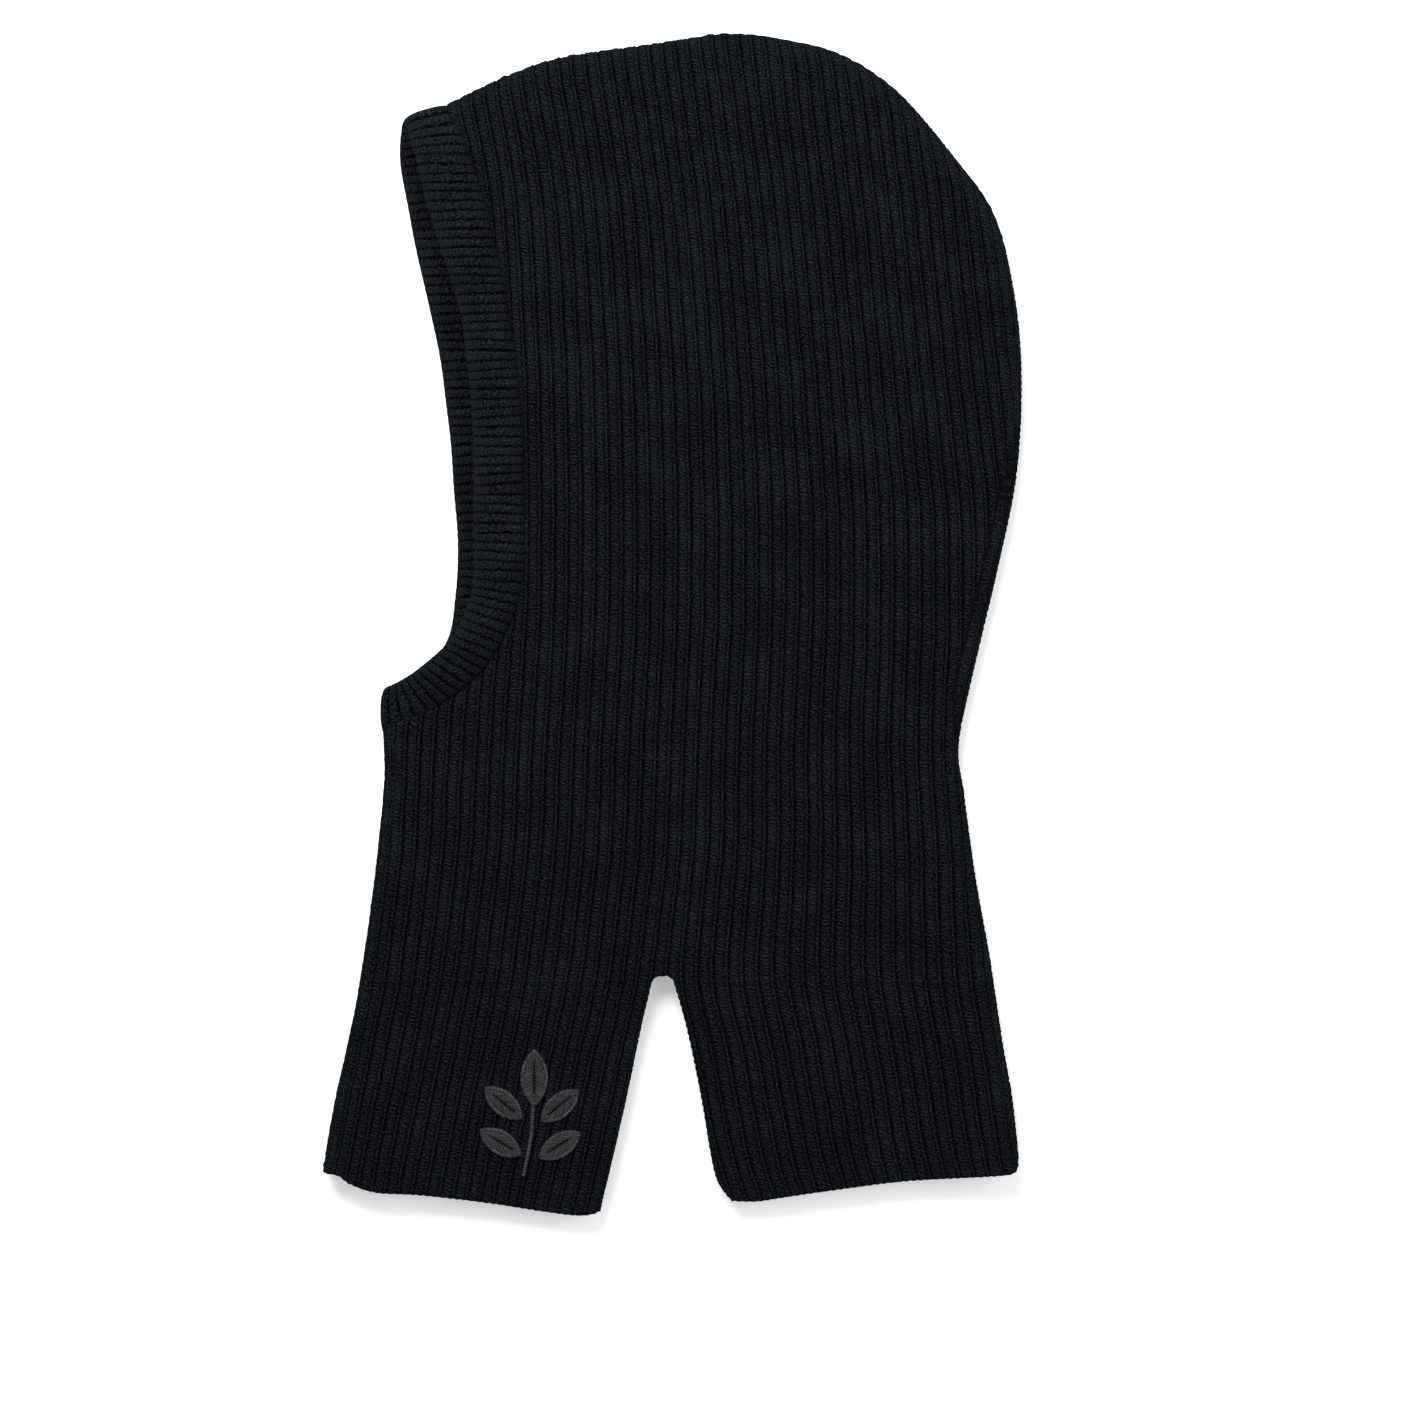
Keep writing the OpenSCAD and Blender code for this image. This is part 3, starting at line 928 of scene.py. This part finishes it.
def stitch(points, faces, uv, ends, radius):
    """Adds one thread between two ends, arched a little and thin at both."""
    start, end = ends
    first, along_it = len(points), end - start
    side = np.cross(along_it, [0, 0, 1])
    side /= np.linalg.norm(side)
    for i in range(ROUNDS):
        t = i / (ROUNDS - 1)
        thick = radius * (0.35 + 0.65 * math.sin(math.pi * t) ** 0.5)
        centre = start + along_it * t + np.array([0, 0, ARCHED * math.sin(math.pi * t)])
        for k in range(SIDES):
            angle = -k * math.pi / 3
            points.append(centre + side * (thick * math.cos(angle))
                          + np.array([0, 0, thick * math.sin(angle)]))
            uv.append((k / SIDES, t * 4 + start[1]))
    faces += [tuple(first + i for i in face) for face in tube_faces(ROUNDS, SIDES, False)]


# %% Fill the leaves
STITCH_PITCH = 1.0


def leaf_fill():
    """Slanted stitches from the middle of each leaf out to both its sides."""
    points, faces, uv = [], [], []
    for x, y, angle, share in LEAVES:
        right = leaf_outline(share)[:ARC_POINTS]
        for t in np.arange(-0.47, 0.34, STITCH_PITCH / (LEAF_L * share)):
            root = np.array([0.0, t * LEAF_L * share])
            reach_y = root[1] + 0.14 * LEAF_L * share
            reach_x = np.interp(reach_y, right[:, 1], right[:, 0]) * 0.97
            if reach_x < 0.5:
                continue
            for sign in (-1, 1):
                flat = np.array([root + [0.15 * sign, 0], [sign * reach_x, reach_y]])
                stitch(points, faces, uv, on_cloth(placed(flat, x, y, angle), 0.15), 0.6)
        for tip in (-0.47, 0.31):
            flat = np.array([[0, tip], [0, tip + 0.16]]) * LEAF_L * share
            stitch(points, faces, uv, on_cloth(placed(flat, x, y, angle), 0.3), 0.7)
    points = np.array(points)
    return write_mesh("sprig_leaf_fill", points, turned_out(faces, points), np.array(uv))


# %% Edge them with satin cord
CORD_R = 0.75
CORD_LOOP = 0.9


def satin_outline():
    """A cord round each leaf and one along the stem, as one piece."""
    ropes = []
    for k, (x, y, angle, share) in enumerate(LEAVES):
        path = on_cloth(placed(leaf_outline(share), x, y, angle), 0.35)
        path = np.concatenate([path, path[:1]])
        ropes.append(chain(f"sprig_cord_{k}", path, CORD_R, CORD_LOOP, closed=True))
    stem = on_cloth(even(smooth(STEM), 0.5) + SPRIG, 0.1)
    ropes.append(chain("sprig_stem", stem, CORD_R, CORD_LOOP))
    bpy.ops.object.select_all(action="DESELECT")
    for rope in ropes:
        rope.select_set(True)
    bpy.context.view_layer.objects.active = ropes[0]
    bpy.ops.object.join()
    ropes[0].name = "sprig_satin_outline"
    return ropes[0]


leaf_filling = leaf_fill()
satin = satin_outline()
print("sprig:", len(leaf_filling.data.polygons), "and", len(satin.data.polygons), "faces")

# %% [markdown]
# ## Wool
#
# The yarn is a charcoal wool, very dark and a little cold in tone. Each rib's column is made of
# short slanted stitches, and all of it is fuzzy. The colour also carries painted light and shade:
# the raised stitches are painted lighter, the grooves get painted shade with a lighter loop across
# them here and there, and the band's rolled lip gets a painted highlight. The pattern is drawn on
# the knit's own coordinates, so it turns with the ribs.


# %% Shader maths as Python
def maths(operation, *fixed, **settings):
    """A method of Value that adds one maths node, with the value first and the others after it."""
    def method(self, *others):
        sockets = dict(enumerate((self, *others, *fixed)))
        return self.paint.node("ShaderNodeMath", {"operation": operation, **settings}, sockets)
    return method


class Value:
    """One output in a material. Sums and products of values add the nodes for them."""

    def __init__(self, paint, socket):
        self.paint = paint
        self.socket = socket

    def __rsub__(self, other):
        return self * -1 + other

    __add__ = __radd__ = maths("ADD")
    __mul__ = __rmul__ = maths("MULTIPLY")
    __sub__ = maths("SUBTRACT")
    __pow__ = maths("POWER")
    sine = maths("SINE")
    fraction = maths("FRACT")
    clamped = maths("ADD", 0.0, use_clamp=True)

    def steps(self, low, high):
        """0 below low, 1 above high and smooth between them."""
        return self.paint.node("ShaderNodeMapRange", {"interpolation_type": "SMOOTHSTEP"},
                               {"Value": self.socket, "From Min": low, "From Max": high})


# %% A material and its nodes
class Paint:
    """A material, and one way to add any node to it."""

    def __init__(self, name):
        self.material = bpy.data.materials.new(name)
        self.material.use_nodes = True
        self.tree = self.material.node_tree
        self.shader = self.tree.nodes["Principled BSDF"]

    def node(self, kind, settings=None, sockets=None, out=0):
        made = self.tree.nodes.new(kind)
        for key, setting in (settings or {}).items():
            setattr(made, key, setting)
        self.plug(made, sockets or {})
        return Value(self, made.outputs[out])

    def plug(self, node, sockets):
        for key, given in sockets.items():
            given = given.socket if isinstance(given, Value) else given
            if isinstance(given, bpy.types.NodeSocket):
                self.tree.links.new(given, node.inputs[key])
            else:
                node.inputs[key].default_value = given

    def noise(self, where, scale, detail=2.0):
        return self.node("ShaderNodeTexNoise", {"noise_dimensions": "3D"},
                         {"Vector": where, "Scale": scale, "Detail": detail})

    def mix(self, factor, a, b):
        return self.node("ShaderNodeMix", {"data_type": "RGBA"},
                         {0: factor, 6: a, 7: b}, out=2)

    def finish(self, colour, height, strength, reach, sheen=0.15, rough=0.95, specular=0.12):
        bump = self.node("ShaderNodeBump", None,
                         {"Height": height, "Strength": strength, "Distance": reach})
        self.plug(self.shader, {
            "Base Color": colour, "Normal": bump, "Roughness": rough,
            "Specular IOR Level": specular, "Sheen Weight": sheen, "Sheen Roughness": 0.5,
            "Sheen Tint": (0.75, 0.9, 1.0, 1.0)})
        return self.material


# %% Knitted wool
TURN = 2 * math.pi


def wool(name, dark, pale, pitch, slant, column, leg=None, depth=0.5, strokes=1.0, wander=0.14,
         lip_highlight_every=0):
    """Rib knit. column and leg are where across a rib the slanted and the straight stitches are.
    Three noises are the yarn's fuzz, the drift of its stitches and its slow patches of tone."""
    paint = Paint(name)
    uv = paint.node("ShaderNodeUVMap", {"uv_map": "knit"})
    rib = paint.node("ShaderNodeSeparateXYZ", None, {"Vector": uv}, out="X")
    course = paint.node("ShaderNodeSeparateXYZ", None, {"Vector": uv}, out="Y")
    yarn_at = paint.node("ShaderNodeCombineXYZ", None, {"X": rib * pitch, "Y": course * COURSE})
    fuzz = paint.noise(yarn_at, 1.6, 5.0)
    drift = paint.noise(yarn_at, 0.45, 2.0)
    patchy = paint.noise(yarn_at, 0.05, 3.0)
    across = (rib + (drift - 0.5) * wander).fraction()
    turn = course * TURN + drift * 14.0
    stroke = (turn + across * slant).sine() * 0.5 + 0.5
    low, high = column
    # The colour follows this relief as well as the bump does: the stitch column, its slanted strokes
    # and its leg are painted lighter than the yarn between them, painted light where the yarn stands
    # up.
    raised = across.steps(low - 0.07, low + 0.14) * (1 - across.steps(high - 0.12, high + 0.04))
    raised = raised * (stroke * (0.75 * strokes) + (1 - 0.75 * strokes))
    if leg:
        low, high = leg
        ridge = across.steps(low - 0.02, low + 0.07) * (1 - across.steps(high - 0.06, high + 0.03))
        raised = raised + ridge * ((turn * 0.7 - across * 7.0).sine() * 0.25 + 0.7)
    # Painted highlight: along the band's rolled lip the colour is made lighter and the ribs' bump
    # fades, once round the band's courses.
    if lip_highlight_every:
        lip = ((course * (TURN / lip_highlight_every) + TURN / 4).sine() * 0.5 + 0.5) ** 6
        raised = raised * (1 - lip * 0.35) + lip * 0.55
    # Painted shade: the grooves between the ribs are coloured darker, except where a lighter loop of
    # yarn crosses one.
    shaded_groove = across.steps(0.92, 0.98) + (1 - across.steps(0.02, 0.10))
    groove_shade_and_loops = (turn * 0.7 + 2.0).sine().steps(-0.2, 0.8) * 0.60 - 0.44
    tone = raised * 0.58 + shaded_groove * groove_shade_and_loops + (fuzz - 0.5) * 2.7 + (patchy - 0.5) * 0.4 + 0.03
    colour = paint.mix(tone.clamped(), (*dark, 1), (*pale, 1))
    height = raised + fuzz * 1.2
    return paint.finish(colour, height, 1.0, depth * MM, 0.008, 1.0, 0.0)


# The wool's dark end, reached in the painted shade of the grooves and in the darkest fuzz.
DEEP = (0.0002, 0.0005, 0.0008)
hood_wool = wool("charcoal_rib_wool", DEEP, (0.0178, 0.0214, 0.0250), 4.8, 7.0, (0.07, 0.71),
                 (0.73, 0.95))
# The band wool's last argument, its courses round, puts a painted highlight on its rolled lip.
band_wool = wool("charcoal_band_wool", DEEP, (0.0150, 0.0182, 0.0210), 3.4, 6.0, (0.08, 0.92),
                 None, 0.5, 0.7, 0.35, BAND_COURSES)
edge_wool = wool("charcoal_edge_wool", DEEP, (0.0160, 0.0193, 0.0225), 4.8, 9.0, (0.05, 0.72),
                 (0.74, 0.97), 0.5, 0.9)
print("wool materials:", hood_wool.name, band_wool.name, edge_wool.name)


# %% Thread
def thread(name, dark, pale, fine, gloss=0.15):
    paint = Paint(name)
    uv = paint.node("ShaderNodeUVMap", {"uv_map": "knit"})
    fuzz = paint.noise(uv, fine, 3.0)
    colour = paint.mix(fuzz.steps(0.25, 0.75), (*dark, 1), (*pale, 1))
    return paint.finish(colour, fuzz, 0.5, 0.2 * MM, 0.01, 0.75, gloss)


# The linking yarn is coloured darker than the wool round it: painted shade for the seam's groove it
# lies in.
seam_thread = thread("linking_yarn", (0.0006, 0.0010, 0.0013), (0.0070, 0.0088, 0.0100), 1.2, 0.0)
satin_thread = thread("satin_thread", (0.008, 0.009, 0.0095), (0.056, 0.060, 0.062), 2.0)
leaf_thread = thread("leaf_thread", (0.0020, 0.0026, 0.0030), (0.047, 0.051, 0.053), 1.7, 0.08)

# %% [markdown]
# ## Which piece is which
#
# Each piece takes its material and stands for its solids in the frame, which are hidden. The
# hood, the band and the hood's seams move with the hood's body. The bibs are one cloth with the
# hood; their pieces, the bib's seam and the sprig keep their place and move with no body.

# %% Dress the pieces
SHARED = {"hood": ["crown_fold", "neck_front_fold"], "front_bib": ["front_bib_fold"],
          "front_hem": ["front_hem"], "back_hem": ["back_hem"]}
OWN = {"rib_knit": ["{}_{}_panel"], "selvedge": ["{}_{}"], "hem": []}


def solids_of(side, region, kind):
    """The solids a piece of knit stands for. What both sides share goes with the left one."""
    own = [name.format(region, side) for name in OWN[kind]]
    return own + (SHARED.get(region, []) if side == "left" else [])


def dress(piece, material, nodes=(), bib=None):
    piece.data.materials.clear()
    piece.data.materials.append(material)
    if nodes:
        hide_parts(*nodes)
    if bib == "front":
        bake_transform(piece)
    elif bib == "back":
        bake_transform(piece)
    else:
        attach(piece, "hood")


for (side, region), piece in sheets.items():
    bib = region.split("_")[0] if region.split("_")[0] in ("front", "back") else None
    kind = "hem" if "hem" in region else "selvedge" if "slit" in region else "rib_knit"
    material = hood_wool if kind == "rib_knit" else edge_wool
    dress(piece, material, solids_of(side, region, kind), bib)

# %% Dress the band, the seams and the sprig
dress(face_band, band_wool,
      ["face_band_left", "face_band_right", "face_band_brow_fold", "face_band_chin_fold"])
dress(band_link_left, seam_thread, ["band_seam_left"])
dress(band_link_right, seam_thread, ["band_seam_right"])
dress(back_link, seam_thread, ["back_seam"])
dress(bib_link, seam_thread, ["back_bib_seam"], "back")
dress(leaf_filling, leaf_thread, ["sprig_leaves"], "front")
dress(satin, satin_thread, ["sprig_outline"], "front")

# %% [markdown]
# ## The pieces of each bib
#
# Each piece of knit is a sheet, and each sheet already holds the area of its flat outline. The
# hems and selvedges are knitted in one with the bibs, so here they are listed with each bib, and
# the sprig with the left front one; nothing further is done with these lists. The band is a strip
# as long as it is round.


for side, under in (("right", []), ("left", ["right"])):
    for bib in ("front", "back"):
        edges = [sheets[side, f"{bib}_slit_edge"], sheets[side, f"{bib}_hem"]]
        edges += [leaf_filling, satin] if (side, bib) == ("left", "front") else []

# %% [markdown]
# ## Camera, floor and light
#
# The balaclava lies on a white floor under two soft lights, and the camera looks straight down
# with its top towards the crown.

# %% Camera
camera_data = bpy.data.cameras.new("camera")
camera = bpy.data.objects.new("camera", camera_data)
bpy.context.scene.collection.objects.link(camera)
camera_data.lens = 85
camera_data.sensor_width = 36
camera.location = (0.0109, -0.0280, 1.190)
bpy.context.scene.camera = camera

# %% Floor
bpy.ops.mesh.primitive_plane_add(size=8, location=(0, 0, -0.0005))
floor = bpy.context.object
floor.name = "floor"
floor_paint = Paint("white_floor")
floor_paint.plug(floor_paint.shader, {
    "Base Color": (0.9, 0.9, 0.9, 1), "Roughness": 0.9, "Specular IOR Level": 0.0,
    "Emission Color": (1, 1, 1, 1), "Emission Strength": 0.3})
floor.data.materials.append(floor_paint.material)


# %% Light
def soft_light(name, place, size, power, aim=(0, 0, 0)):
    data = bpy.data.lights.new(name, "AREA")
    data.shape = "DISK"
    data.size = size
    data.energy = power
    light = bpy.data.objects.new(name, data)
    light.location = place
    light.rotation_euler = (Vector(aim) - Vector(place)).to_track_quat("-Z", "Y").to_euler()
    bpy.context.scene.collection.objects.link(light)
    return light


soft_light("key_light", (-0.25, 0.65, 0.85), 0.6, 14)
soft_light("fill_light", (1.2, 0.3, 1.4), 1.2, 12)
world = bpy.data.worlds.new("room")
world.use_nodes = True
world.node_tree.nodes["Background"].inputs["Color"].default_value = (1, 1, 1, 1)
world.node_tree.nodes["Background"].inputs["Strength"].default_value = 0.5
bpy.context.scene.world = world
bpy.context.scene.view_settings.view_transform = "Standard"
